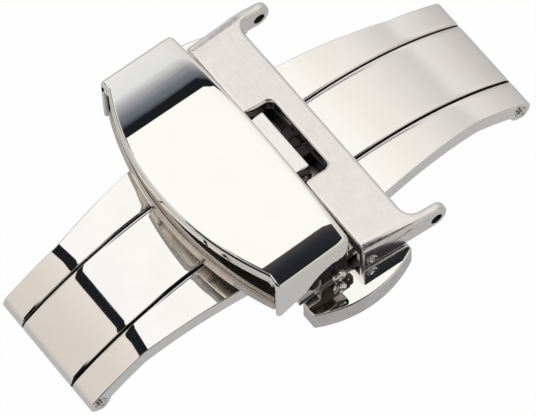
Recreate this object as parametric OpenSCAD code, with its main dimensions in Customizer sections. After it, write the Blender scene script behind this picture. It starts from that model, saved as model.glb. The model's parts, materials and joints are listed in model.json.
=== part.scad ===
// Double-button butterfly clasp for a watch strap, shown closed.
// X runs along the strap towards the lugs, Y across it, Z away from the wrist.
// The clasp stands on its two end knuckles at Z = 0, with the closing seam near X = 0.

/* [Strap] */
// Width of the strap end that fits between the lugs
strap_w = 18; // [16:0.5:22]
// Room for the strap end between the liner and the cover
strap_t = 2.95; // [2.4:0.05:3.2]

/* [Wings] */
// Distance between the two end hinge pins
hinge_span = 36; // [34:0.5:40]
// Distance from the centre at which the wings begin to curve
wing_flat = 5.5; // [5.2:0.1:7]
// Outer radius of the curved part of the wings
wing_r = 23.5; // [20:0.5:27]
// Thickness of the centre blade and of the rails
wing_t = 1.35; // [1.1:0.05:1.5]
// Width of the centre blade
blade_w = 5.4; // [4.8:0.1:6]
// Gap between the blade and each rail
slot_gap = 0.25; // [0.15:0.05:0.35]
// Width over both rails at the end knuckles
wing_end_w = 10.1; // [9.4:0.1:11]
// Width over both rails where they reach the centre
wing_root_w = 12.7; // [11.6:0.1:13.4]
// Distance from the centre at which the rails reach their narrow width
wing_taper_x = 14.2; // [10:0.2:15]
// Radius of the end knuckles
knuckle_r = 0.85; // [0.75:0.05:1]
// Radius of the end hinge pins
pin_r = 0.42; // [0.3:0.02:0.5]

/* [Arm heads] */
// Thickness of the plate that joins the two rails of an arm
head_plate_t = 1.35; // [1.2:0.05:1.6]
// Radius of the cross pins that hold the heads on the arms
cross_pin_r = 0.4; // [0.3:0.02:0.45]
// Distance of the cross pins from the centre
cross_pin_x = 1.25; // [1.2:0.05:1.4]
// Radius of the domed heads of the left cross pin
cross_head_r = 0.52; // [0.46:0.01:0.55]

/* [Lug bracket] */
// Side play of the strap end between the lugs
strap_play = 0.4; // [0.2:0.05:0.5]
// Thickness of each lug and side wall
lug_t = 0.8; // [0.7:0.05:1]
// Radius of the spring bar hole
lug_hole_r = 0.45; // [0.4:0.05:0.6]
// Radius of the rounded lug end
lug_end_r = 0.97; // [0.85:0.01:1.1]
// Distance of the spring bar hole from the centre
lug_hole_x = 6.5; // [6.3:0.1:7]
// Height of the spring bar hole above the wings
lug_hole_h = 0.9; // [0.8:0.05:1.1]
// Length of the top plate along the strap
bracket_l = 4.05; // [3.9:0.05:4.5]
// Width of the bracket over its walls at the seam
bracket_seam_w = 19.7; // [19.5:0.1:20.4]
// Thickness of the top plate at the seam
bracket_seam_t = 1.28; // [1:0.02:1.5]
// Thickness of the top plate at the lugs
bracket_lug_t = 0.72; // [0.5:0.02:0.9]
// Length of the notch along the strap
notch_l = 2.25; // [2.1:0.05:2.4]
// Width of the notch
notch_w = 6.4; // [6.3:0.05:7]

/* [Strap carrier] */
// Thickness of the lower carrier plate
carrier_t = 1.05; // [0.8:0.05:1.1]
// Thickness of the upper liner plate
liner_t = 0.45; // [0.4:0.05:0.6]
// Greatest reach of the bowed edge from the centre
bow_x = 8.3; // [8:0.1:9]
// Reach of the bowed edge at the two ends
bow_end_x = 6.4; // [6:0.1:7]
// Radius of the peg that passes through the strap
peg_r = 0.6; // [0.5:0.05:0.8]
// Distance of the peg from the centre
peg_x = 4.6; // [4:0.1:5.5]
// Height of the peg above the liner
peg_h = 1.95; // [1.7:0.05:2.1]

/* [Cover] */
// Thickness of the cover
cover_t = 1.1; // [0.8:0.05:1.2]
// Thickness of the cover's end lips
lip_t = 0.55; // [0.5:0.05:0.8]
// Fall of the crowned top from the middle to the ends
cover_crown = 1.05; // [0.9:0.05:1.5]
// Radius of the cover's rounded shoulders
shoulder_r = 0.5; // [0.4:0.05:0.9]
// Overhang of the cover past the carrier's bowed edge
cover_overhang = 0.55; // [0.4:0.05:0.7]
// Reach of the cover at its lips
cover_end_x = 6.5; // [6.4:0.1:6.8]
// Thickness of the two hinge ears of the cover
cover_ear_t = 0.35; // [0.3:0.01:0.4]
// Half height of the hinge tongue round the cover's hinge pin
tongue_r = 0.7; // [0.6:0.02:0.72]
// Radius of the cover's hinge pin
cover_pin_r = 0.3; // [0.25:0.01:0.35]

/* [Lock] */
// Length of the lock housing along the strap
housing_l = 7.5; // [7.3:0.05:7.6]
// Length of a button cap along the strap
cap_l = 8.3; // [7.8:0.1:8.8]
// Height of the button caps
cap_h = 1.85; // [1.6:0.05:1.9]
// Depth of a button cap from its flat back to its crown
cap_d = 2.3; // [1.9:0.05:2.5]
// Depth of a button cap at its square ends
cap_end_d = 1.25; // [1.1:0.05:1.4]
// Travel of each button
travel = 0.75; // [0.6:0.05:0.8]
// Thickness of the sliding latch plates
slide_t = 0.35; // [0.3:0.01:0.38]
// Depth by which the latch plates hold the catches
hold = 0.25; // [0.15:0.05:0.3]

/* [Hidden] */
$fn = 96;

// Running clearance of pins, and the clearance between sliding plates
run = 0.03;
slip = 0.05;
// Clearance between pieces that move past each other
clear = 0.2;
eps = 0.01;

// Wings: hinge pin, arc centre and top of the flat middle
pin_x = hinge_span / 2;
pin_z = knuckle_r;
arc_z = pin_z - sqrt(pow(wing_r - knuckle_r, 2) - pow(pin_x - wing_flat, 2));
arc_a = asin((pin_x - wing_flat) / (wing_r - knuckle_r));
wing_top = arc_z + wing_r;
wing_bottom = wing_top - wing_t;
slot_y = blade_w / 2 + slot_gap;
pin_head = 0.2;

// Stack of plates at the centre, from the wings up
head_bottom = wing_top + clear;
head_top = head_bottom + head_plate_t;
cross_pin_z = head_bottom + head_plate_t / 2;
liner_bottom = head_top + carrier_t;
liner_top = liner_bottom + liner_t;
cover_inside = liner_top + strap_t;
cover_top = cover_inside + cover_t;

// Widths, as half widths from the centre line
lug_gap_y = strap_w / 2 + strap_play;
head_y = lug_gap_y + lug_t;
carrier_y = strap_w / 2 + 0.2;
lip_y = carrier_y + 0.1;
cover_y = lip_y + lip_t;
ear_t = 0.8;
peg_stem_r = 0.7 * peg_r;
arm_ear_y = carrier_y - ear_t - clear;

// Arm heads
seam = 0.5;
riser_x = housing_l / 2 + clear;
riser_l = 0.9;
arm_ear_x = 2 * cross_pin_x - seam;

// Lock housing and what slides in it
pan_t = 0.6;
rivet_grip = 0.8;
over = 1;
housing_bottom = wing_top - cap_h + 0.05;
housing_y = carrier_y - ear_t;
chamber_x = housing_l / 2 - 0.3;
chamber_y = 2.7;
roof_t = 0.45;
chamber_top = wing_top - roof_t;
stem_w = 2.2;
low_z = housing_bottom + roof_t;
high_z = low_z + slide_t + 2 * slip;
catch_l = 1;
catch_x = chamber_x - 0.5 - catch_l;
catch_w = 2.2;
notch_depth = hold + 0.1;
bar_y = catch_w / 2 - hold;
bar_d = 0.85;
bar_x = catch_x + catch_l + slip;
tenon_r = 0.4;

// Button caps and springs
cap_back = housing_y + travel + 0.15;
cap_front = cap_back + cap_d;
stem_seat = 0.8;
spring_x = 2.35;
spring_z = wing_top - cap_h / 2;
spring_r = 0.38;
spring_wire_r = 0.08;
spring_seat = 0.4;
spring_in = chamber_y + 1.9;
spring_turns = 9;
pocket_r = spring_r + spring_wire_r + slip;

// Bracket
bracket_x = seam + 0.1;
bracket_end = bracket_x + bracket_l;
seam_top = head_top + bracket_seam_t;
lug_top = head_top + bracket_lug_t;
lug_hole_z = wing_top + lug_hole_h;
wall_bottom = wing_top + clear;

// Cover hinge and cover
hinge_x = bracket_x + 0.35;
hinge_z = head_top + tongue_r + 0.05;
carrier_edge = 0.25;
cover_edge = -0.5;
cover_wall_t = 0.8;
cover_bottom = liner_top + clear;
lip_low = head_top - clear;
lip_knee_x = 2.2;
lip_rise = 0.4;
carrier_bow_r = bow_radius(bow_x, bow_end_x, carrier_y);
liner_reach = bow_x - 0.27;
liner_bow_r = bow_radius(liner_reach, bow_end_x - 0.12, carrier_y);
cover_bow_r = bow_radius(bow_x + cover_overhang, cover_end_x, carrier_y - 0.4);
crown_r = (pow(lip_y, 2) + pow(cover_crown, 2)) / (2 * cover_crown);
tongue_w = notch_w - 2 * (clear + cover_ear_t + slip);
cover_ear_y = tongue_w / 2 + slip;
cover_ear_r = tongue_r - 0.1;

steel = [0.8, 0.79, 0.77];
satin = [0.74, 0.72, 0.7];
dark_steel = [0.5, 0.5, 0.5];

// A profile drawn in X and Z, given a width across the strap
module across(width) {
    rotate([90, 0, 0]) linear_extrude(width, center = true) children();
}

// A section drawn in Y and Z, given a length along the strap
module along(length) {
    rotate([90, 0, 90]) linear_extrude(length) children();
}

// A round bar or bore across the strap
module cross_rod(x, z, r, length) {
    translate([x, 0, z]) rotate([90, 0, 0]) cylinder(r = r, h = length, center = true);
}

// The same form on both sides of the centre line
module both_sides() {
    children();
    mirror([0, 1, 0]) children();
}

// Outline of one wing from a start point to its knuckle, in X and Z
module wing_outline(start_x) {
    translate([start_x, wing_bottom]) square([wing_flat - start_x, wing_t]);
    intersection() {
        difference() {
            translate([wing_flat, arc_z]) circle(wing_r);
            translate([wing_flat, arc_z]) circle(wing_r - wing_t);
        }
        polygon([[wing_flat, arc_z], [wing_flat, arc_z + 2 * wing_r],
            [wing_flat + 2 * wing_r * sin(arc_a), arc_z + 2 * wing_r * cos(arc_a)]]);
    }
    translate([pin_x, pin_z]) circle(knuckle_r);
}

// Centre blade with its dropped pan under the lock
module bridge_blade() {
    pan_top = housing_bottom;
    pan_bottom = pan_top - pan_t;
    joggle_x = riser_x + riser_l;
    color(steel) difference() {
        union() {
            across(blade_w) for (side = [0, 1]) mirror([side, 0]) {
                wing_outline(joggle_x);
                polygon([[0, pan_bottom], [0, pan_top], [housing_l / 2, pan_top],
                    [joggle_x, wing_top], [joggle_x + eps, wing_bottom], [housing_l / 2 + 0.4, pan_bottom]]);
            }
            translate([-housing_l / 2, -housing_y, pan_bottom]) cube([housing_l, 2 * housing_y, pan_t]);
        }
        for (side = [-1, 1]) cross_rod(side * pin_x, pin_z, pin_r + run, blade_w + 1);
        rivet_places() cylinder(r = tenon_r + run, h = 2 * wing_top, center = true);
    }
}

module rivet_places() {
    for (x = [-1, 1], y = [-1, 1]) translate([x * spring_x, y * (chamber_y + 0.95), 0]) children();
}

// Lock housing with its chamber, two slide channels, catch windows and spring pockets
module lock_housing() {
    color(satin) difference() {
        translate([-housing_l / 2, -housing_y, housing_bottom])
            cube([housing_l, 2 * housing_y, wing_top - housing_bottom]);
        translate([-chamber_x, -chamber_y, housing_bottom - over])
            cube([2 * chamber_x, 2 * chamber_y, chamber_top - housing_bottom + over]);
        translate([-stem_w / 2 - slip, -housing_y - over, low_z - slip])
            cube([stem_w + 2 * slip, 2 * (housing_y + over), chamber_top - low_z + slip]);
        for (side = [0, 1]) mirror([side, 0, 0]) {
            translate([catch_x - clear, -catch_w / 2 - clear, chamber_top - over])
                cube([chamber_x - catch_x + clear, catch_w + 2 * clear, roof_t + 2 * over]);
            both_sides() translate([spring_x, spring_in, spring_z])
                rotate([-90, 0, 0]) cylinder(r = pocket_r, h = housing_y);
        }
        rivet_places() translate([0, 0, housing_bottom - over])
            cylinder(r = tenon_r + run, h = over + rivet_grip + run);
    }
}

module housing_rivets() {
    color(satin) rivet_places() translate([0, 0, housing_bottom - pan_t])
        cylinder(r = tenon_r, h = pan_t + rivet_grip);
}

module hinge_pin(side) {
    color(satin) difference() {
        cross_rod(side * pin_x, pin_z, pin_r, wing_end_w + 2 * pin_head);
        both_sides() translate([side * pin_x, wing_end_w / 2 + pin_head, pin_z]) sphere(r = 0.12, $fn = 24);
    }
}

// Plan of one rail, wider towards the centre
module rail_plan() {
    beyond_x = pin_x + knuckle_r + 1;
    polygon([[riser_x, slot_y], [beyond_x, slot_y], [beyond_x, wing_end_w / 2],
        [wing_taper_x, wing_end_w / 2], [riser_x, wing_root_w / 2]]);
}

// Plan of the plate that joins the rails and carries the head
module head_plan() {
    difference() {
        union() {
            translate([seam, -wing_root_w / 2]) square([riser_x + riser_l - seam, wing_root_w]);
            translate([seam, -arm_ear_y]) square([arm_ear_x, 2 * arm_ear_y]);
        }
        translate([0, -notch_w / 2]) square([catch_x - clear / 2, notch_w]);
        for (side = [0, 1]) mirror([0, side])
            translate([0, catch_w / 2 + 0.15])
                square([bracket_x + notch_l - 0.1, (notch_w - catch_w) / 2 - 0.15]);
    }
}

// Arm on the lug side: two rails, their risers and the head plate
module arm() {
    difference() {
        union() {
            intersection() {
                across(2 * wing_root_w) wing_outline(riser_x);
                both_sides() linear_extrude(2 * wing_top) rail_plan();
            }
            both_sides() translate([riser_x, slot_y, wing_bottom])
                cube([riser_l, wing_root_w / 2 - slot_y - 0.15, head_bottom - wing_bottom + eps]);
            translate([0, 0, head_bottom]) linear_extrude(head_plate_t) head_plan();
        }
        cross_rod(pin_x, pin_z, pin_r + run, 2 * wing_end_w);
        cross_rod(cross_pin_x, cross_pin_z, cross_pin_r + run, 2 * head_y);
        translate([catch_x + catch_l / 2, 0, 0]) cylinder(r = tenon_r + run, h = 2 * wing_top);
    }
}

module right_arm() {
    color(steel) arm();
}

module left_arm() {
    color(steel) mirror([1, 0, 0]) arm();
}

// Catch leg with one notch on each side, held in the head plate by a tenon
module catch() {
    difference() {
        union() {
            translate([catch_x, -catch_w / 2, low_z - slip])
                cube([catch_l, catch_w, head_bottom - low_z + slip]);
            translate([catch_x + catch_l / 2, 0, head_bottom - eps])
                cylinder(r = tenon_r, h = head_plate_t + eps);
        }
        translate([catch_x - 1, catch_w / 2 - notch_depth, low_z - 2 * slip])
            cube([catch_l + 2, 1, slide_t + 3 * slip]);
        translate([catch_x - 1, notch_depth - catch_w / 2 - 1, high_z - slip])
            cube([catch_l + 2, 1, slide_t + 2 * slip]);
    }
}

module right_catch() {
    color(satin) catch();
}

module left_catch() {
    color(satin) mirror([1, 0, 0]) catch();
}

// Cross pin of the left arm, with a domed and dimpled head at each end
module left_cross_pin() {
    dome_r = 0.9;
    head_l = cover_y - carrier_y - run;
    color(satin) translate([-cross_pin_x, 0, cross_pin_z]) difference() {
        union() {
            cross_rod(0, 0, cross_pin_r, 2 * (cover_y - head_l + eps));
            both_sides() intersection() {
                translate([0, cover_y - head_l, 0]) rotate([-90, 0, 0])
                    cylinder(r = cross_head_r, h = head_l);
                translate([0, cover_y - dome_r, 0]) sphere(r = dome_r);
            }
        }
        pin_dimples(cover_y);
    }
}

// On the lug side two short pins leave the notch free
module right_cross_pins() {
    pin_end = bracket_seam_w / 2 + 0.15;
    color(satin) translate([cross_pin_x, 0, cross_pin_z]) difference() {
        both_sides() translate([0, notch_w / 2 + clear, 0]) rotate([-90, 0, 0])
            cylinder(r = cross_pin_r, h = pin_end - notch_w / 2 - clear);
        pin_dimples(pin_end);
    }
}

module pin_dimples(end_y) {
    both_sides() translate([0, end_y + 0.05, 0]) sphere(r = 0.2, $fn = 32);
}

// Radius of an edge that bows from its reach at the centre line to its reach at a half width
function bow_radius(reach, end_x, end_y) = (pow(end_y, 2) + pow(reach - end_x, 2)) / (2 * (reach - end_x));

// Plan with one bowed edge
module bowed_plan(right_x, half_y, reach, bow_r) {
    intersection() {
        translate([bow_r - reach, 0]) circle(bow_r, $fn = 256);
        translate([-2 * reach, -half_y]) square([2 * reach + right_x, 2 * half_y]);
    }
}

// Side of the flat-topped hinge tongue in X and Z
module tongue_outline() {
    end_x = hinge_x + tongue_r;
    polygon([[carrier_edge - 0.5, head_top], [hinge_x, head_top], [end_x, hinge_z - tongue_r / 2],
        [end_x, hinge_z + tongue_r], [hinge_x - tongue_r, hinge_z + tongue_r], [hinge_x - tongue_r, hinge_z],
        [carrier_edge - 0.5, hinge_z]]);
}

// Lower carrier plate with the hinge tongue at the seam and two pin ears
module strap_carrier() {
    color(satin) difference() {
        union() {
            translate([0, 0, head_top]) linear_extrude(carrier_t)
                bowed_plan(carrier_edge, carrier_y, bow_x, carrier_bow_r);
            both_sides() translate([-arm_ear_x - seam, carrier_y - ear_t, wall_bottom])
                cube([arm_ear_x + carrier_edge, ear_t, head_top - wall_bottom + carrier_t / 2]);
            across(tongue_w) tongue_outline();
        }
        cross_rod(-cross_pin_x, cross_pin_z, cross_pin_r + run, 4 * head_y);
        cross_rod(hinge_x, hinge_z, cover_pin_r + run, 2 * tongue_w);
        peg_bore();
    }
}

module peg_bore() {
    translate([-peg_x, 0, head_top - over])
        cylinder(r = peg_stem_r + run, h = liner_top - head_top + 2 * over);
}

// Upper liner plate that the strap end lies on
module carrier_liner() {
    color(satin) difference() {
        translate([0, 0, liner_bottom]) linear_extrude(liner_t)
            bowed_plan(carrier_edge - cover_wall_t / 4, carrier_y - 0.1, liner_reach, liner_bow_r);
        peg_bore();
        cross_rod(hinge_x, hinge_z, tongue_r + slip, tongue_w + 2 * cover_ear_t + 4 * slip);
    }
}

// Peg with a flange on the liner and a rounded head
module strap_peg() {
    top = liner_top + peg_h;
    color(steel) translate([-peg_x, 0, 0]) rotate_extrude() intersection() {
        union() {
            translate([0, head_top]) square([peg_stem_r, top - peg_r - head_top]);
            translate([0, liner_top]) square([peg_r, top - peg_r - liner_top]);
            translate([0, top - peg_r]) circle(peg_r);
        }
        translate([0, head_top]) square([2 * peg_r, top]);
    }
}

// Section of the crowned cover in Y and Z: a crown arc that runs into two rounded shoulders
module cover_section(crown, half, shoulder) {
    crown_z = cover_top - crown_r;
    shoulder_y = half - shoulder;
    shoulder_z = crown_z + sqrt(pow(crown - shoulder, 2) - pow(shoulder_y, 2));
    meet_y = crown * shoulder_y / (crown - shoulder);
    intersection() {
        translate([0, crown_z]) circle(crown, $fn = 256);
        translate([-meet_y, 0]) square([2 * meet_y, 2 * cover_top]);
    }
    for (side = [-1, 1]) translate([side * shoulder_y, shoulder_z]) circle(shoulder);
    translate([-half, 0]) square([2 * half, shoulder_z]);
}

// Ear in X and Z that hangs from the cover's wall to its hinge pin
module cover_ear_outline() {
    translate([hinge_x, hinge_z]) circle(cover_ear_r);
    root_x = cover_edge - cover_wall_t + 0.1;
    root_z = cover_bottom + 0.9;
    polygon([[root_x, cover_bottom], [root_x, root_z], [cover_edge, root_z],
        [hinge_x + cover_ear_r * 0.7, hinge_z + cover_ear_r * 0.7],
        [hinge_x, hinge_z], [hinge_x - cover_ear_r, hinge_z], [hinge_x - cover_ear_r, cover_bottom - 0.1]]);
}

// Crowned cover with end lips, a wall along the seam and two hinge ears
module cover_plate() {
    reach = bow_x + cover_overhang;
    color(steel) difference() {
        union() {
            difference() {
                intersection() {
                    translate([-reach - 1, 0, 0]) along(reach + 1 + cover_edge)
                        cover_section(crown_r, cover_y, shoulder_r);
                    union() {
                        linear_extrude(2 * cover_top) bowed_plan(cover_edge, head_y, reach, cover_bow_r);
                        translate([-cover_end_x, -head_y, 0])
                            cube([cover_end_x + cover_edge, 2 * head_y, 2 * cover_top]);
                    }
                }
                translate([-reach - 1, 0, 0]) along(reach + 1 + cover_edge - cover_wall_t)
                    cover_section(crown_r - cover_t, lip_y, shoulder_r / 2);
                across(4 * head_y) polygon([[-2 * reach, -1], [-2 * reach, lip_low], [-cover_end_x, lip_low],
                    [-lip_knee_x, cover_bottom], [cover_edge, cover_bottom + lip_rise],
                    [reach, cover_bottom + lip_rise], [reach, -1]]);
            }
            both_sides() translate([0, cover_ear_y + cover_ear_t / 2, 0])
                across(cover_ear_t) cover_ear_outline();
        }
        cross_rod(hinge_x, hinge_z, cover_pin_r + run, 2 * tongue_w);
    }
}

module cover_hinge_pin() {
    color(satin) cross_rod(hinge_x, hinge_z, cover_pin_r, 2 * (cover_ear_y + cover_ear_t) + slip);
}

// Point where a line from p touches a circle at c with radius r, on the side given
function touch(p, c, r, side) =
    let (d = norm(p - c), a = atan2(p[1] - c[1], p[0] - c[0]) + side * acos(r / d))
    c + r * [cos(a), sin(a)];

// Side of the bracket in X and Z: top plate, side wall and lug
module bracket_outline() {
    hole = [lug_hole_x, lug_hole_z];
    shoulder = [bracket_end, lug_top];
    heel = [bracket_end + 0.15, wall_bottom];
    inner_r = lug_end_r * 0.985;
    polygon([[bracket_x, wall_bottom], [bracket_x, seam_top], shoulder,
        touch(shoulder, hole, inner_r, -1), hole, touch(heel, hole, inner_r, 1), heel]);
}

// A rectangle with two rounded corners on its lug side
module notch_plan(x, half_y, length, r) {
    translate([x, -half_y]) square([length - r, 2 * half_y]);
    translate([x, -half_y + r]) square([length, 2 * (half_y - r)]);
    for (side = [-1, 1]) translate([x + length - r, side * (half_y - r)]) circle(r);
}

// Bracket that takes the other strap end between two lugs
module lug_bracket() {
    fillet = 0.9;
    color(satin) difference() {
        union() {
            intersection() {
                across(2 * head_y) bracket_outline();
                both_sides() linear_extrude(2 * seam_top) polygon([[0, 0], [bracket_x, bracket_seam_w / 2],
                    [bracket_end, head_y], [2 * bracket_end, head_y], [2 * bracket_end, 0]]);
            }
            cross_rod(lug_hole_x, lug_hole_z, lug_end_r, 2 * head_y);
        }
        translate([0, 0, head_top - over]) linear_extrude(2 * over + bracket_seam_t)
            notch_plan(0, notch_w / 2, bracket_x + notch_l, 0.5);
        linear_extrude(2 * head_top) mirror([1, 0])
            notch_plan(-2 * lug_hole_x, lug_gap_y, 2 * lug_hole_x - bracket_end, fillet);
        translate([-1, -lug_gap_y, 0]) cube([bracket_end + 1, 2 * lug_gap_y, head_top]);
        cross_rod(cross_pin_x, cross_pin_z, cross_pin_r + run, 3 * head_y);
        cross_rod(lug_hole_x, lug_hole_z, lug_hole_r, 3 * head_y);
    }
}

// Plan of a half-moon button cap on the near side
module cap_plan() {
    r = bow_radius(cap_d, cap_end_d, cap_l / 2);
    intersection() {
        translate([0, r - cap_front]) circle(r, $fn = 192);
        translate([-cap_l / 2, -cap_front - 1]) square([cap_l, cap_d + 1]);
    }
}

module button_cap(level) {
    color(steel) difference() {
        translate([0, 0, wing_top - cap_h]) linear_extrude(cap_h) cap_plan();
        translate([-stem_w / 2 - run, -cap_back - stem_seat - run, level - run])
            cube([stem_w + 2 * run, 2 * stem_seat, slide_t + 2 * run]);
        for (side = [-1, 1]) translate([side * spring_x, -cap_back - spring_seat, spring_z])
            rotate([-90, 0, 0]) cylinder(r = pocket_r, h = 2 * spring_seat);
    }
}

// Latch slide: a stem from the cap and a bar that holds both catches from behind
module latch_slide(level) {
    color(dark_steel) translate([0, 0, level]) linear_extrude(slide_t) {
        translate([-stem_w / 2, -cap_back - stem_seat])
            square([stem_w, cap_back + stem_seat + bar_y + bar_d]);
        translate([-bar_x, bar_y]) square([2 * bar_x, bar_d]);
    }
}

// Coil spring along Y, as one tube swept round a helix
module coil_spring(side) {
    steps = 12;
    sides = 5;
    rings = spring_turns * steps;
    start = -cap_back - spring_seat + spring_wire_r;
    pitch = (-spring_in - spring_wire_r - start) / rings;
    points = [for (i = [0 : rings], k = [0 : sides - 1])
        let (a = i * 360 / steps, b = k * 360 / sides, r = spring_r + spring_wire_r * cos(b))
        [side * spring_x + r * cos(a), start + i * pitch + spring_wire_r * sin(b), spring_z + r * sin(a)]];
    walls = [for (i = [0 : rings - 1], k = [0 : sides - 1])
        let (n = (k + 1) % sides) [i * sides + k, i * sides + n, (i + 1) * sides + n, (i + 1) * sides + k]];
    last = rings * sides;
    color(dark_steel) polyhedron(points,
        concat(walls, [[for (k = [sides - 1 : -1 : 0]) k], [for (k = [0 : sides - 1]) last + k]]));
}

module left_hinge_pin() {
    hinge_pin(-1);
}

module right_hinge_pin() {
    hinge_pin(1);
}

module front_button_cap() {
    button_cap(low_z);
}

module front_latch_slide() {
    latch_slide(low_z);
}

module rear_button_cap() {
    mirror([0, 1, 0]) button_cap(high_z);
}

module rear_latch_slide() {
    mirror([0, 1, 0]) latch_slide(high_z);
}

module front_spring_left() {
    coil_spring(-1);
}

module front_spring_right() {
    coil_spring(1);
}

module rear_spring_left() {
    mirror([0, 1, 0]) coil_spring(-1);
}

module rear_spring_right() {
    mirror([0, 1, 0]) coil_spring(1);
}

bridge_blade();
lock_housing();
housing_rivets();
left_hinge_pin();
right_hinge_pin();
left_arm();
left_catch();
left_cross_pin();
strap_carrier();
carrier_liner();
strap_peg();
cover_plate();
cover_hinge_pin();
right_arm();
right_catch();
right_cross_pins();
lug_bracket();
front_button_cap();
front_latch_slide();
front_spring_left();
front_spring_right();
rear_button_cap();
rear_latch_slide();
rear_spring_left();
rear_spring_right();
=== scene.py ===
"""Looks for a double-button butterfly clasp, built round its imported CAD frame."""
import json
import math

import bmesh
import bpy
from mathutils import Matrix, Vector


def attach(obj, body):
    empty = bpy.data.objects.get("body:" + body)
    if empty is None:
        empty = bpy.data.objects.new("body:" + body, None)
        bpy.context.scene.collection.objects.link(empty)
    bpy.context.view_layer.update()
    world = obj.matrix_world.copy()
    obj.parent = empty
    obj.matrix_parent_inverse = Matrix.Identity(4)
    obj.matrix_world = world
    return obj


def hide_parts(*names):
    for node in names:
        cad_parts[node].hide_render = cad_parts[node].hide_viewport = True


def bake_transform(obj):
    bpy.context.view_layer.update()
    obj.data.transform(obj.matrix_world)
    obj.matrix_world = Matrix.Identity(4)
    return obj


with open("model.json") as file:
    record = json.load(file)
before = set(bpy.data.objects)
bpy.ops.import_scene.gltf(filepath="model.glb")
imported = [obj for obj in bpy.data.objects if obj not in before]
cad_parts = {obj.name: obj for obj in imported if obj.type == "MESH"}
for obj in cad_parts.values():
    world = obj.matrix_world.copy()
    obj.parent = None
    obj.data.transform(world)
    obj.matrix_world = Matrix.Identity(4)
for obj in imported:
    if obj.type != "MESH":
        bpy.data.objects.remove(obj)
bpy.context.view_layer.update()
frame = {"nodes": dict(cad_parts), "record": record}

MM = 0.001
RECORD = frame["record"]
SLOT_OF = {part["node"]: part["material_slot"] for part in RECORD["subparts"]}
BODY_OF = {node: body for body, nodes in RECORD["behaviour"]["bodies"].items() for node in nodes}
MOUNTS = {mount["name"]: Vector(mount["pos_m"]) / MM for mount in RECORD["mounts"]}


# Materials. Noise scales are in cells per metre and heights in metres

FILM, HAIRS, WAVES = 420, 9000, 600
SATIN_CLOUD, SATIN_GRAIN, SATIN_WAVES = 900, 5200, 800
SHADE_CLOUD = 1600


class Finish:
    """A node material built step by step from its shader's own sockets."""

    def __init__(self, name, colour, roughness, metallic=1.0):
        self.material = bpy.data.materials.new(name)
        self.material.use_nodes = True
        self.nodes = self.material.node_tree.nodes
        self.links = self.material.node_tree.links
        self.shader = self.nodes["Principled BSDF"]
        self.shader.inputs["Base Color"].default_value = (*colour, 1)
        self.shader.inputs["Metallic"].default_value = metallic
        self.shader.inputs["Roughness"].default_value = roughness
        self.where = self.nodes.new("ShaderNodeTexCoord").outputs["Object"]
        self.normal = None

    def stretched(self, scale, turn=0.0):
        mapping = self.nodes.new("ShaderNodeMapping")
        mapping.inputs["Scale"].default_value = scale
        mapping.inputs["Rotation"].default_value = (0, 0, turn)
        self.links.new(self.where, mapping.inputs["Vector"])
        return mapping.outputs["Vector"]

    def along_x(self):
        split = self.nodes.new("ShaderNodeSeparateXYZ")
        self.links.new(self.where, split.inputs[0])
        return split.outputs["X"]

    def noise(self, scale, detail, vector=None):
        texture = self.nodes.new("ShaderNodeTexNoise")
        texture.inputs["Scale"].default_value = scale
        texture.inputs["Detail"].default_value = detail
        texture.inputs["Roughness"].default_value = 0.55
        self.links.new(vector or self.where, texture.inputs["Vector"])
        return texture.outputs["Fac"]

    def ranged(self, value, low, high, to_low, to_high):
        node = self.nodes.new("ShaderNodeMapRange")
        bounds = {"From Min": low, "From Max": high, "To Min": to_low, "To Max": to_high}
        for socket, number in bounds.items():
            node.inputs[socket].default_value = number
        self.links.new(value, node.inputs["Value"])
        return node.outputs["Result"]

    def sum_of(self, first, second):
        node = self.nodes.new("ShaderNodeMath")
        node.operation = "ADD"
        self.links.new(first, node.inputs[0])
        self.links.new(second, node.inputs[1])
        return node.outputs[0]

    def tinted(self, value, first, second):
        ramp = self.nodes.new("ShaderNodeValToRGB")
        ramp.color_ramp.elements[0].color = (*first, 1)
        ramp.color_ramp.elements[1].color = (*second, 1)
        self.links.new(value, ramp.inputs["Fac"])
        self.links.new(ramp.outputs["Color"], self.shader.inputs["Base Color"])

    def rough(self, value):
        self.links.new(value, self.shader.inputs["Roughness"])

    def bumped(self, height, distance):
        bump = self.nodes.new("ShaderNodeBump")
        bump.inputs["Distance"].default_value = distance
        bump.inputs["Strength"].default_value = 1.0
        self.links.new(height, bump.inputs["Height"])
        if self.normal is not None:
            self.links.new(self.normal, bump.inputs["Normal"])
        self.normal = bump.outputs["Normal"]
        self.links.new(self.normal, self.shader.inputs["Normal"])


def polished(name, colour, shade, low, high, wave, soft_end=0.0):
    """Buffed steel: a thin film that shifts its tone, hairlines that scatter it, a faint wave from
    the wheel. soft_end is what its roughness gains from the middle of the clasp to +X."""
    finish = Finish(name, colour, low)
    film = finish.noise(FILM, 3)
    finish.tinted(finish.ranged(film, 0.35, 0.65, 0, 1), colour, shade)
    hairs = finish.noise(HAIRS, 2, finish.stretched((1, 0.05, 1), 0.5))
    rough = finish.sum_of(finish.ranged(film, 0.3, 0.7, low, high),
                          finish.ranged(hairs, 0.62, 0.8, 0, 0.02))
    if soft_end:
        rough = finish.sum_of(rough, finish.ranged(finish.along_x(), -0.001, 0.007, 0, soft_end))
    finish.rough(rough)
    finish.bumped(finish.noise(WAVES, 2), wave)
    return finish.material


def satin(name, colour, shade, low, high, stretch, depth):
    """Fine-ground steel: short scratches in one direction over a slightly uneven tone."""
    finish = Finish(name, colour, low)
    cloud = finish.noise(SATIN_CLOUD, 4)
    finish.tinted(finish.ranged(cloud, 0.3, 0.7, 0, 1), colour, shade)
    grain = finish.noise(SATIN_GRAIN, 3, finish.stretched(stretch))
    finish.rough(finish.sum_of(finish.ranged(cloud, 0.3, 0.7, low, high),
                               finish.ranged(grain, 0.4, 0.75, 0, 0.1)))
    finish.bumped(grain, depth)
    finish.bumped(finish.noise(SATIN_WAVES, 2), 0.000003)
    return finish.material


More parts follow.
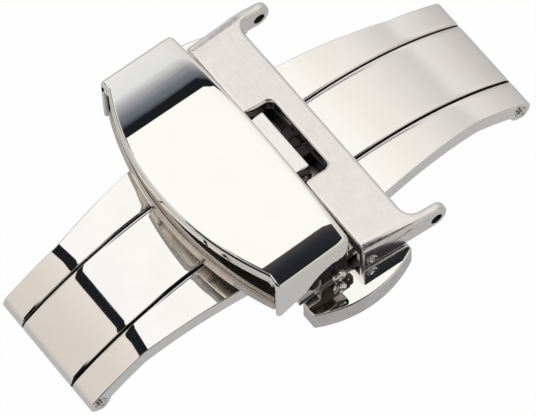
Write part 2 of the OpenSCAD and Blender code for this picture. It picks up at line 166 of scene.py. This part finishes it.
def painted_shade_finish(name, colour, shade):
    """Painted shade: a dark, part-metallic finish for slot walls, bores and recesses where shade
    falls.
    """
    finish = Finish(name, colour, 0.5, metallic=0.35)
    cloud = finish.noise(SHADE_CLOUD, 4)
    finish.tinted(finish.ranged(cloud, 0.35, 0.7, 0, 1), colour, shade)
    finish.rough(finish.ranged(cloud, 0.3, 0.7, 0.38, 0.62))
    finish.bumped(cloud, 0.00001)
    return finish.material


cover_polish = polished("cover_polish", (0.97, 0.96, 0.93), (0.955, 0.945, 0.91),
                        0.004, 0.014, 0.0000003)
wing_polish = polished("wing_polish", (0.95, 0.935, 0.915), (0.93, 0.91, 0.885),
                       0.012, 0.03, 0.0000006, 0.12)
cap_polish = polished("cap_polish", (0.95, 0.94, 0.92), (0.92, 0.905, 0.88),
                      0.012, 0.03, 0.0000006)
bracket_satin = satin("bracket_satin", (0.895, 0.875, 0.86), (0.875, 0.85, 0.835),
                      0.15, 0.22, (1, 0.3, 1), 0.000002)
# The carrier's darker, browner colour is painted shade, for its place between cover and wing
carrier_steel = satin("carrier_steel", (0.7, 0.645, 0.6), (0.6, 0.54, 0.49),
                      0.14, 0.24, (0.15, 0.15, 1), 0.000005)
# The caps' ground sides, their colour darkened as painted shade
shaded_cap_side = satin("shaded_cap_side", (0.79, 0.775, 0.76), (0.69, 0.675, 0.66),
                 0.2, 0.3, (0.1, 0.1, 1), 0.000003)
pin_steel = polished("pin_steel", (0.86, 0.84, 0.82), (0.78, 0.75, 0.73),
                     0.14, 0.22, 0.0000006)
inner_steel = satin("inner_steel", (0.62, 0.6, 0.58), (0.5, 0.48, 0.46),
                    0.2, 0.32, (1, 0.1, 1), 0.000004)
spring_wire = polished("spring_wire", (0.6, 0.59, 0.58), (0.5, 0.48, 0.46),
                       0.18, 0.28, 0.000002)
# The dark finish below is painted shade, for slots, bores and shaded recesses
painted_shade = painted_shade_finish("painted_shade", (0.02, 0.017, 0.015), (0.05, 0.042, 0.036))

FINISHES = {
    "cover_polish": cover_polish, "wing_polish": wing_polish, "cap_polish": cap_polish,
    "bracket_satin": bracket_satin, "carrier_steel": carrier_steel, "pin_steel": pin_steel,
    "inner_steel": inner_steel, "spring_wire": spring_wire,
}


# Stage: floor, sky of panels and flags, camera

FLOOR_Z, FLOOR_SIZE = -10.8, 1600
PAPER = (0.9, 0.9, 0.9)
SEEN_GLOW, MIRRORED_GLOW, MIRRORED_STRENGTH = 0.975, 0.6, 0.54


def floor():
    """Pale paper, laid low enough for the wings to hang open above it. The camera sees it glow
    white with a trace of the object's shadow, and mirrors see it glow less."""
    bpy.ops.mesh.primitive_plane_add(size=FLOOR_SIZE * MM, location=(0, 0, FLOOR_Z * MM))
    plane = bpy.context.object
    plane.name = "floor"
    material = bpy.data.materials.new("floor_paper")
    material.use_nodes = True
    nodes, links = material.node_tree.nodes, material.node_tree.links
    shader = nodes["Principled BSDF"]
    shader.inputs["Base Color"].default_value = (*PAPER, 1)
    shader.inputs["Roughness"].default_value = 1.0
    glow = nodes.new("ShaderNodeEmission")
    path = nodes.new("ShaderNodeLightPath")

    def math_of(operation, first, second):
        node = nodes.new("ShaderNodeMath")
        node.operation = operation
        for socket, value in zip(node.inputs, (first, second)):
            if isinstance(value, float):
                socket.default_value = value
            else:
                links.new(value, socket)
        return node.outputs[0]

    seen = math_of("MAXIMUM", path.outputs["Is Camera Ray"], path.outputs["Is Transmission Ray"])
    shiny = path.outputs["Is Glossy Ray"]
    strength = math_of("MAXIMUM", seen, math_of("MULTIPLY", shiny, MIRRORED_STRENGTH))
    share = math_of("MAXIMUM", math_of("MULTIPLY", seen, SEEN_GLOW),
                    math_of("MULTIPLY", shiny, MIRRORED_GLOW))
    links.new(strength, glow.inputs["Strength"])
    mix = nodes.new("ShaderNodeMixShader")
    links.new(share, mix.inputs["Fac"])
    links.new(shader.outputs["BSDF"], mix.inputs[1])
    links.new(glow.outputs["Emission"], mix.inputs[2])
    links.new(mix.outputs["Shader"], nodes["Material Output"].inputs["Surface"])
    plane.data.materials.append(material)


def sky():
    """A white soft box overhead with dark flags at its edges and paler panels beyond them.
    Places on it are in degrees from straight up, across the strap (side) or along it (length)."""
    world = bpy.data.worlds.new("studio")
    bpy.context.scene.world = world
    world.use_nodes = True
    nodes, links = world.node_tree.nodes, world.node_tree.links
    place = nodes.new("ShaderNodeTexCoord")
    split = nodes.new("ShaderNodeSeparateXYZ")
    links.new(place.outputs["Generated"], split.inputs[0])

    def spread(value, low, high):
        """0 to 1 between two values, and flat beyond them."""
        span = nodes.new("ShaderNodeMapRange")
        span.inputs["From Min"].default_value = low
        span.inputs["From Max"].default_value = high
        links.new(value, span.inputs["Value"])
        return span.outputs["Result"]

    def share_of(degrees):
        return (degrees + 90) / 180

    def swing(axis):
        """Angle from straight up towards one side, as 0 to 1 for -90 to 90 degrees."""
        angle = nodes.new("ShaderNodeMath")
        angle.operation = "ARCTAN2"
        links.new(split.outputs[axis], angle.inputs[0])
        links.new(split.outputs["Z"], angle.inputs[1])
        return spread(angle.outputs[0], -math.pi / 2, math.pi / 2)

    def edge_at(turn, degrees):
        """0 before an angle and 1 after it: a panel's crisp edge, finer than a ramp can hold."""
        half = 0.075
        return spread(turn, share_of(degrees - half), share_of(degrees + half))

    def panels(turn, stops):
        ramp = nodes.new("ShaderNodeValToRGB")
        elements = ramp.color_ramp.elements
        while len(elements) < len(stops):
            elements.new(0.5)
        for element, (degrees, colour) in zip(elements, stops):
            element.position = share_of(degrees)
            element.color = (*colour, 1)
        links.new(turn, ramp.inputs["Fac"])
        return ramp.outputs["Color"]

    def even(turn, colour):
        return panels(turn, [(-90, colour), (90, colour)])

    def blended(factor, first, second, kind="MIX"):
        node = nodes.new("ShaderNodeMix")
        node.data_type = "RGBA"
        node.blend_type = kind
        if isinstance(factor, float):
            node.inputs["Factor"].default_value = factor
        else:
            links.new(factor, node.inputs["Factor"])
        links.new(first, node.inputs[6])
        links.new(second, node.inputs[7])
        return node.outputs[2]

    side, length = swing("Y"), swing("X")
    dark, white = (0.012, 0.013, 0.016), (1.01, 1.007, 0.972)
    none, full = (0, 0, 0), (1, 1, 1)

    # Across the strap: the near flag, the soft box, and the far flag that pales outwards
    far = panels(side, [
        (-90, dark), (40.3, dark), (41.0, (0.11, 0.125, 0.15)), (42.2, (0.16, 0.175, 0.2)),
        (43.1, (0.225, 0.24, 0.27)), (44.1, (0.33, 0.335, 0.37)), (45, (0.43, 0.43, 0.45)),
        (46, (0.58, 0.585, 0.61)), (47.1, (0.78, 0.79, 0.81)), (53, (0.85, 0.85, 0.86)),
        (90, (0.9, 0.9, 0.9))])
    near = panels(side, [
        (-90, (0.014, 0.015, 0.018)), (-2.6, (0.017, 0.019, 0.023)),
        (-1.2, (0.036, 0.036, 0.043)), (0, (0.075, 0.068, 0.064))])
    to_far = edge_at(side, 38.12)
    over = blended(to_far, blended(edge_at(side, 0), near, even(side, white)), far)

    # The same across the strap, for the parts of the sky further along it
    beyond = panels(side, [
        (-90, (0.85, 0.83, 0.8)), (-40, (0.75, 0.73, 0.7)), (0, (0.8, 0.78, 0.76)), (6, white)])
    beyond = blended(to_far, beyond, far)
    rim = panels(side, [(-90, dark), (13, dark), (15, full), (90, full)])
    left = panels(side, [
        (-90, (0.6, 0.58, 0.55)), (-20, (0.3, 0.29, 0.28)), (-6, full), (50, full),
        (55, (0.12, 0.12, 0.12)), (90, (0.12, 0.12, 0.12))])
    right = panels(side, [
        (-90, (0.85, 0.83, 0.8)), (-40, (0.7, 0.68, 0.65)), (0, (0.4, 0.4, 0.4)), (6, full),
        (90, full)])

    # Along the strap: a warm end, a narrow dark strip, then white that fades to warm grey
    fading = panels(length, [
        (-90, full), (20, full), (24, (0.97, 0.96, 0.94)), (31, (0.92, 0.9, 0.885)),
        (42, (0.86, 0.84, 0.825)), (50, (0.77, 0.75, 0.735)), (58, (0.66, 0.645, 0.63)),
        (61, (0.66, 0.645, 0.63)), (63, (0.82, 0.8, 0.78)), (70, (0.77, 0.75, 0.73)),
        (90, (0.5, 0.48, 0.46))])
    end = panels(length, [
        (-90, (0.6, 0.56, 0.52)), (-42, (0.74, 0.69, 0.64)), (-31.6, (0.82, 0.76, 0.71))])
    inner = blended(edge_at(length, -27.5), even(length, dark), fading)
    along = blended(edge_at(length, -31.2), end, inner)

    # Where along the strap each part takes over
    to_rim = panels(length, [(-90, full), (-47, full), (-44, none), (90, none)])
    to_left = panels(length, [(-90, full), (-18, full), (-10, none), (90, none)])
    to_beyond = panels(length, [(-90, none), (24, none), (27, full), (90, full)])
    to_right = panels(length, [(-90, none), (44, none), (48, full), (90, full)])
    dome = blended(to_beyond, over, beyond)
    for mask, panel in ((to_left, left), (to_rim, rim), (to_right, right)):
        dome = blended(mask, dome, panel)
    dome = blended(1.0, dome, along, "MULTIPLY")

    lit = nodes["Background"]
    links.new(dome, lit.inputs["Color"])
    backdrop = nodes.new("ShaderNodeBackground")
    backdrop.inputs["Color"].default_value = (1, 1, 1, 1)
    path = nodes.new("ShaderNodeLightPath")
    mix = nodes.new("ShaderNodeMixShader")
    links.new(path.outputs["Is Camera Ray"], mix.inputs["Fac"])
    links.new(lit.outputs[0], mix.inputs[1])
    links.new(backdrop.outputs[0], mix.inputs[2])
    links.new(mix.outputs[0], nodes["World Output"].inputs["Surface"])


# The camera as it was solved from the photo: degrees, mm and, for the focal length, pixels

AZIMUTH, ELEVATION, ROLL = -34.718, 62.418, -3.001
AIM_HEIGHT, AIM_RIGHT, AIM_UP = 5.34, 0.042, -2.32
DISTANCE = 336.04
FOCAL, PHOTO_WIDTH = 4972.94, 536
SENSOR = 36


def camera():
    azimuth, elevation, roll = map(math.radians, (AZIMUTH, ELEVATION, ROLL))
    back = Vector((math.sin(azimuth) * math.cos(elevation),
                   -math.cos(azimuth) * math.cos(elevation), math.sin(elevation)))
    level = Vector((math.cos(azimuth), math.sin(azimuth), 0))
    rise = back.cross(level)
    right = math.cos(roll) * level + math.sin(roll) * rise
    up = math.cos(roll) * rise - math.sin(roll) * level
    aim = Vector((0, 0, AIM_HEIGHT)) + AIM_RIGHT * right + AIM_UP * up
    data = bpy.data.cameras.new("camera")
    data.sensor_width = SENSOR
    data.lens = FOCAL / PHOTO_WIDTH * SENSOR
    data.clip_start, data.clip_end = 0.01, 10
    viewer = bpy.data.objects.new("camera", data)
    bpy.context.scene.collection.objects.link(viewer)
    turn = Matrix((right, up, back)).transposed().to_4x4()
    viewer.matrix_world = Matrix.Translation((aim + DISTANCE * back) * MM) @ turn
    bpy.context.scene.camera = viewer


bpy.context.scene.view_settings.view_transform = "Standard"
floor()
sky()
camera()


# Pieces that stand for the CAD nodes, with their edges broken as the polisher leaves them

CUT_THRESHOLD = 0.0001 * MM
MERGED = 0.001 * MM
FLAT, SHARP, SMOOTHED = map(math.radians, (0.3, 32, 50))


def only(piece):
    """Selects one object alone and makes it active."""
    bpy.ops.object.select_all(action="DESELECT")
    piece.select_set(True)
    bpy.context.view_layer.objects.active = piece


def shaped(piece):
    """Opens a piece for work on its mesh with nothing selected."""
    only(piece)
    bpy.ops.object.mode_set(mode="EDIT")
    bpy.ops.mesh.select_all(action="DESELECT")
    return bmesh.from_edit_mesh(piece.data)


def middle_of(node):
    """The middle of a node's box in mm."""
    corners = [Vector(corner) / MM for corner in frame["nodes"][node].bound_box]
    return sum(corners, Vector()) / len(corners)


def copied(node):
    """A merged copy of a node's mesh, with its flat faces whole again."""
    piece = bpy.data.objects.new(node + "_finished", frame["nodes"][node].data.copy())
    bpy.context.scene.collection.objects.link(piece)
    only(piece)
    bpy.ops.mesh.customdata_custom_splitnormals_clear()
    shaped(piece)
    bpy.ops.mesh.select_all(action="SELECT")
    bpy.ops.mesh.remove_doubles(threshold=MERGED)
    bpy.ops.mesh.dissolve_limited(angle_limit=FLAT)
    bpy.ops.object.mode_set(mode="OBJECT")
    piece.data.materials.clear()
    piece.data.materials.append(FINISHES[SLOT_OF[node]])
    for face in piece.data.polygons:
        face.material_index = 0
    return piece


def cut(piece, points, normal):
    """Adds the edge rings where planes through points in mm cross a piece."""
    shaped(piece)
    for point in points:
        bpy.ops.mesh.select_all(action="SELECT")
        bpy.ops.mesh.bisect(plane_co=[place * MM for place in point], plane_no=normal,
                            threshold=CUT_THRESHOLD)
    bpy.ops.object.mode_set(mode="OBJECT")


def cut_across_x(piece, places):
    cut(piece, [(place, 0, 0) for place in places], (1, 0, 0))


def cut_across_y(piece, places):
    cut(piece, [(0, place, 0) for place in places], (0, 1, 0))


def eased(piece, edge, segments, spared=None):
    """Breaks the sharp edges that aren't spared, all by one width."""
    shape = shaped(piece)
    weight = shape.edges.layers.float.new("bevel_weight_edge")
    for line in shape.edges:
        if len(line.link_faces) == 2 and line.calc_face_angle() > SHARP:
            place = (line.verts[0].co + line.verts[1].co) / 2 / MM
            line[weight] = 0 if spared and spared(place) else 1
    bmesh.update_edit_mesh(piece.data)
    bpy.ops.object.mode_set(mode="OBJECT")
    bevel = piece.modifiers.new("edges", "BEVEL")
    bevel.width = edge * MM
    bevel.segments = segments
    bevel.limit_method = "WEIGHT"
    bevel.use_clamp_overlap = False
    bevel.miter_outer = "MITER_ARC"
    bpy.ops.object.modifier_apply(modifier="edges")


def fading_fall(fall, depth, reach):
    """How far a surface falls at a depth in from its edge: all of it there, none at its reach."""
    return fall * (1 - max(depth, 0) / reach) ** 2 if depth < reach else 0


def stands_for(piece, node):
    """Smooths a piece between its sharp edges and puts it in its node's place."""
    only(piece)
    bpy.ops.object.shade_smooth_by_angle(angle=SMOOTHED)
    weighted = piece.modifiers.new("normals", "WEIGHTED_NORMAL")
    weighted.keep_sharp = True
    bpy.ops.object.modifier_apply(modifier="normals")
    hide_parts(node)
    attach(piece, BODY_OF[node])


def painted(piece, material, chosen):
    """Gives the faces that a rule chooses a second material."""
    piece.data.materials.append(material)
    index = len(piece.data.materials) - 1
    for face in piece.data.polygons:
        if chosen(face.center / MM, face.normal):
            face.material_index = index


def plain(node, edge, segments=2):
    piece = copied(node)
    eased(piece, edge, segments)
    stands_for(piece, node)
    return piece


# Where painted shade darkens the faces of several pieces

def in_notch(place, normal):
    """What is seen through the bracket's notch, which is given painted shade."""
    return 0 < place.x < 3.4 and abs(place.y) < 3.3 and 5.4 < place.z < 7.1


def at_end(place, normal):
    """The plates' ends across the strap, given painted shade between the cover and the caps."""
    return abs(normal.y) > 0.7 and abs(place.y) > 7 and -4.2 < place.x < 1.5


# Cover: its crown is turned finer, falls away towards the seam and rounds over there

CROWN_R, CROWN_Z = 41.71, -29.15
SHOULDER_Y, SHOULDER_Z, SHOULDER_R = 9.35, 10.987, 0.47
END_Y = 9.83
SEAM_X, SEAM_REACH, SEAM_FALL, SEAM_TURN = -0.5, 1.0, 0.06, 0.3
SEAM_RINGS = (0.015, 0.05, 0.1, 0.16, 0.23, 0.31, 0.42, 0.56, 0.75, 1.0)
CROWN_STEP, CROWN_STEPS, CROWN_EDGE_Y = 0.3, 63, 9.3
ON_CROWN = math.cos(math.radians(4))
FACETS_X, FACET_WIDTH, EASED_X = -1.6, 0.14, -1.4


def from_crown_axis(place):
    return Vector((0, place.y, place.z - CROWN_Z))


def outward(place):
    """The way out of the cover at a point of its outside, or None inside it."""
    side = math.copysign(1, place.y)
    from_crown = from_crown_axis(place)
    from_shoulder = Vector((0, place.y - side * SHOULDER_Y, place.z - SHOULDER_Z))
    at_crown = from_crown.length > CROWN_R - 0.03
    if abs(place.y) > SHOULDER_Y and place.z > SHOULDER_Z:
        if from_shoulder.length > SHOULDER_R or at_crown:
            return from_shoulder.normalized()
    elif place.z > SHOULDER_Z and at_crown:
        return from_crown.normalized()
    elif abs(place.y) > END_Y:
        return Vector((0, side, 0))
    return None


def in_cover(place, normal):
    """The cover's hollow side, which is ground but not polished."""
    ceiling = normal.z < -0.2 and abs(place.y) < CROWN_EDGE_Y
    end_wall = normal.y * place.y < -5
    seam_wall = normal.x < -0.9 and -1.5 < place.x < -1
    return ceiling or end_wall or seam_wall


def crown_vertices(piece):
    chosen = set()
    for face in piece.data.polygons:
        if from_crown_axis(face.center / MM).normalized().dot(face.normal) > ON_CROWN:
            chosen.update(face.vertices)
    return chosen


def seam_drop(depth):
    drop = fading_fall(SEAM_FALL, depth, SEAM_REACH)
    if depth < SEAM_TURN:
        inset = SEAM_TURN - max(depth, 0)
        drop += SEAM_TURN - math.sqrt(max(SEAM_TURN ** 2 - inset ** 2, 0))
    return drop


# The hinge ears, which get painted shade where they lie in the notch's shade
def on_ear(place, normal):
    return place.x > 0.25


def true_normals(piece, on_crown):
    """Gives the crown the normals of the cylinder it lies on, up to where it falls away."""
    normals = [corner.vector.copy() for corner in piece.data.corner_normals]
    for face in piece.data.polygons:
        for corner, index in zip(face.loop_indices, face.vertices):
            place = piece.data.vertices[index].co / MM
            flat = SEAM_X - place.x > SEAM_REACH and abs(place.y) < SHOULDER_Y - 0.02
            if index in on_crown and flat:
                normals[corner] = from_crown_axis(place).normalized()
    piece.data.normals_split_custom_set(normals)


def cover():
    piece = copied("cover_plate")
    for vertex in shaped(piece).verts:
        place = vertex.co / MM
        off_seam = place.x < FACETS_X and abs(place.y) < CROWN_EDGE_Y
        vertex.select_set(off_seam and outward(place) is not None)
    bpy.ops.mesh.remove_doubles(threshold=FACET_WIDTH * MM)
    bpy.ops.object.mode_set(mode="OBJECT")
    eased(piece, 0.3, 6, lambda place: place.x > EASED_X)
    cut_across_x(piece, [SEAM_X - depth for depth in SEAM_RINGS])
    cut_across_y(piece, [step * CROWN_STEP - CROWN_EDGE_Y for step in range(CROWN_STEPS)])
    on_crown = crown_vertices(piece)
    for vertex in piece.data.vertices:
        place = vertex.co / MM
        depth = SEAM_X - place.x
        out = outward(place)
        if out is None or depth < -0.01:
            continue
        if abs(place.y) < SHOULDER_Y and vertex.index in on_crown:
            vertex.co = (Vector((place.x, 0, CROWN_Z)) + out * CROWN_R) * MM
        vertex.co -= out * seam_drop(depth) * MM
    painted(piece, inner_steel, in_cover)
    # Painted shade on the hinge ears
    painted(piece, painted_shade, on_ear)
    stands_for(piece, "cover_plate")
    true_normals(piece, on_crown)


# Wings: their slots are drawn in and their tops fall softly beside them

CAD_BLADE_SIDE, CAD_ARM_INSIDE = 2.7, 2.95
BLADE_SIDE, SLOT_Y, ARM_INSIDE = 2.76, 2.82, 2.88
SLOT_REACH, SLOT_FALL = 0.42, 0.06
SLOT_RINGS = (0.22, 0.38, 0.54, 0.74, 1)
SLOT_TOP_X, SLOT_WALL_X = 4.2, 4.3


def in_slot(place, normal):
    """The walls of a wing's slots, which are given painted shade, with more of their rounded edges
    in the near slot.
    """
    reach = 0.09 if place.y < 0 else 0.075
    by_slot = abs(place.x) > SLOT_WALL_X and abs(abs(place.y) - SLOT_Y) < reach
    return by_slot and abs(normal.y) > 0.3


def moved_sides(piece, old, new):
    """Brings the long side faces from one distance off the centre line to another."""
    for vertex in piece.data.vertices:
        if abs(abs(vertex.co.y) - old * MM) < 0.004 * MM:
            vertex.co.y = math.copysign(new * MM, vertex.co.y)


def wing(node, old, new, side):
    """side is 1 where the piece lies outside its slots and -1 where it lies between them."""
    piece = copied(node)
    moved_sides(piece, old, new)
    rings = [new + side * SLOT_REACH * share for share in SLOT_RINGS]
    cut_across_y(piece, [sign * ring for ring in rings for sign in (-1, 1)])
    top = set()
    for face in piece.data.polygons:
        if face.normal.z > 0.3:
            top.update(face.vertices)
    for vertex in piece.data.vertices:
        depth = side * (abs(vertex.co.y / MM) - new)
        if vertex.index in top and depth > -0.01 and abs(vertex.co.x / MM) > SLOT_TOP_X:
            vertex.co.z -= fading_fall(SLOT_FALL, depth, SLOT_REACH) * MM
    eased(piece, 0.08, 3)
    # Painted shade in the slots, and in the notch or on the plate ends
    painted(piece, painted_shade, in_slot)
    painted(piece, painted_shade, in_notch if node == "right_arm" else at_end)
    stands_for(piece, node)


# Bracket: its plate widens and its top drops evenly from the seam to the lugs' root

PLATE_X, LUG_ROOT_X = 0.6, 4.65
PLATE_Y, LUG_ROOT_Y = 9.85, 10.2
PLATE_TOP, LUG_ROOT_TOP = 8.292, 7.732
BORE_WALL, BORE_MOUTH = 0.46, 0.6
END_REACH, END_FALL = 0.75, 0.2
END_RINGS = (0.3, 0.38, 0.48, 0.6, 0.75)
LUG_RINGS = (4.3, 5.6)
FADED_X, FADE_LENGTH = 5.1, 0.9
SPRING_BAR, CROSS_PINS = MOUNTS["spring_bar_bore"], middle_of("right_cross_pins")


def off_axis(place, axis):
    """How far a place is from an axis that runs across the strap."""
    return math.hypot(place.x - axis.x, place.z - axis.z)


def bracket_inside(place):
    """The bracket's bores and the edges under its plate, which stay as they are cut."""
    outside = place.z > 7.1 or place.x > 5.5 or abs(place.y) > 9.7
    in_mouth = min(off_axis(place, SPRING_BAR), off_axis(place, CROSS_PINS)) < BORE_MOUTH
    return in_mouth or not outside


# The spring-bar bore's walls, which get painted shade
def in_bore(place, normal):
    return abs(normal.y) < 0.5 and off_axis(place, SPRING_BAR) < BORE_WALL


def on_crease(line):
    """The crease between plate and lugs. It runs into the end edges, so it is dissolved before
    they are rounded."""
    places = [vertex.co / MM for vertex in line.verts]
    at_lugs = all(abs(place.x - LUG_ROOT_X) < 0.01 and abs(place.y) > 8.45 for place in places)
    return at_lugs and all(face.normal.z > 0.9 for face in line.link_faces)


def bracket():
    piece = copied("lug_bracket")
    for line in shaped(piece).edges:
        line.select_set(on_crease(line))
    bpy.ops.mesh.dissolve_edges(use_verts=False)
    bpy.ops.object.mode_set(mode="OBJECT")
    cut_across_x(piece, LUG_RINGS)
    eased(piece, 0.28, 6, bracket_inside)
    length = LUG_ROOT_X - PLATE_X
    slant = (LUG_ROOT_Y - PLATE_Y) / length
    for inset in END_RINGS:
        for side in (-1, 1):
            cut(piece, [(PLATE_X, side * (PLATE_Y - inset), 0)], (-slant * side, 1, 0))
    for vertex in piece.data.vertices:
        place = vertex.co / MM
        inset = PLATE_Y + slant * (place.x - PLATE_X) - abs(place.y)
        top = PLATE_TOP - (place.x - PLATE_X) * (PLATE_TOP - LUG_ROOT_TOP) / length
        if place.z > top - 0.5:
            off_lug = min(max((FADED_X - place.x) / FADE_LENGTH, 0), 1)
            vertex.co.z -= fading_fall(END_FALL, inset, END_REACH) * off_lug * MM
    # Painted shade inside the spring-bar bore
    painted(piece, painted_shade, in_bore)
    stands_for(piece, "lug_bracket")


# Caps and carrier: faces with a finish of their own, the caps' sides also darkened as painted
# shade

def on_cap_side(place, normal):
    return abs(normal.z) < 0.35 and abs(place.y) > 9.4


def on_tongue(place, normal):
    return place.x > 0.3 and place.z > 7.2


# Springs: smooth-shaded copies, baked where they lie

def spring(node):
    piece = copied(node)
    bpy.ops.object.shade_smooth()
    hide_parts(node)
    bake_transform(piece)


cover()
wing("bridge_blade", CAD_BLADE_SIDE, BLADE_SIDE, -1)
wing("left_arm", CAD_ARM_INSIDE, ARM_INSIDE, 1)
wing("right_arm", CAD_ARM_INSIDE, ARM_INSIDE, 1)
bracket()
for node in ("front_button_cap", "rear_button_cap"):
    # Painted shade darkens the caps' ground sides
    painted(plain(node, 0.14, 4), shaded_cap_side, on_cap_side)
carrier = plain("strap_carrier", 0.12, 3)
painted(carrier, bracket_satin, on_tongue)
# Painted shade on the carrier's and liner's ends
painted(carrier, painted_shade, at_end)
painted(plain("carrier_liner", 0.1, 3), painted_shade, at_end)
for node in ("right_cross_pins", "left_hinge_pin", "right_hinge_pin", "lock_housing"):
    plain(node, 0.06, 3)
for node in ("strap_peg", "left_cross_pin", "cover_hinge_pin", "housing_rivets", "left_catch"):
    plain(node, 0.05)
for node in ("front_latch_slide", "rear_latch_slide"):
    plain(node, 0.04)
# Painted shade where the right catch shows through the notch
painted(plain("right_catch", 0.04), painted_shade, in_notch)
for button, side in (("front", -1), ("rear", 1)):
    for end in ("left", "right"):
        spring(f"{button}_spring_{end}")


# The CAD nodes that the pieces stand for take the same finishes

for node, piece in frame["nodes"].items():
    for slot in piece.material_slots:
        slot.material = FINISHES[SLOT_OF[node]]
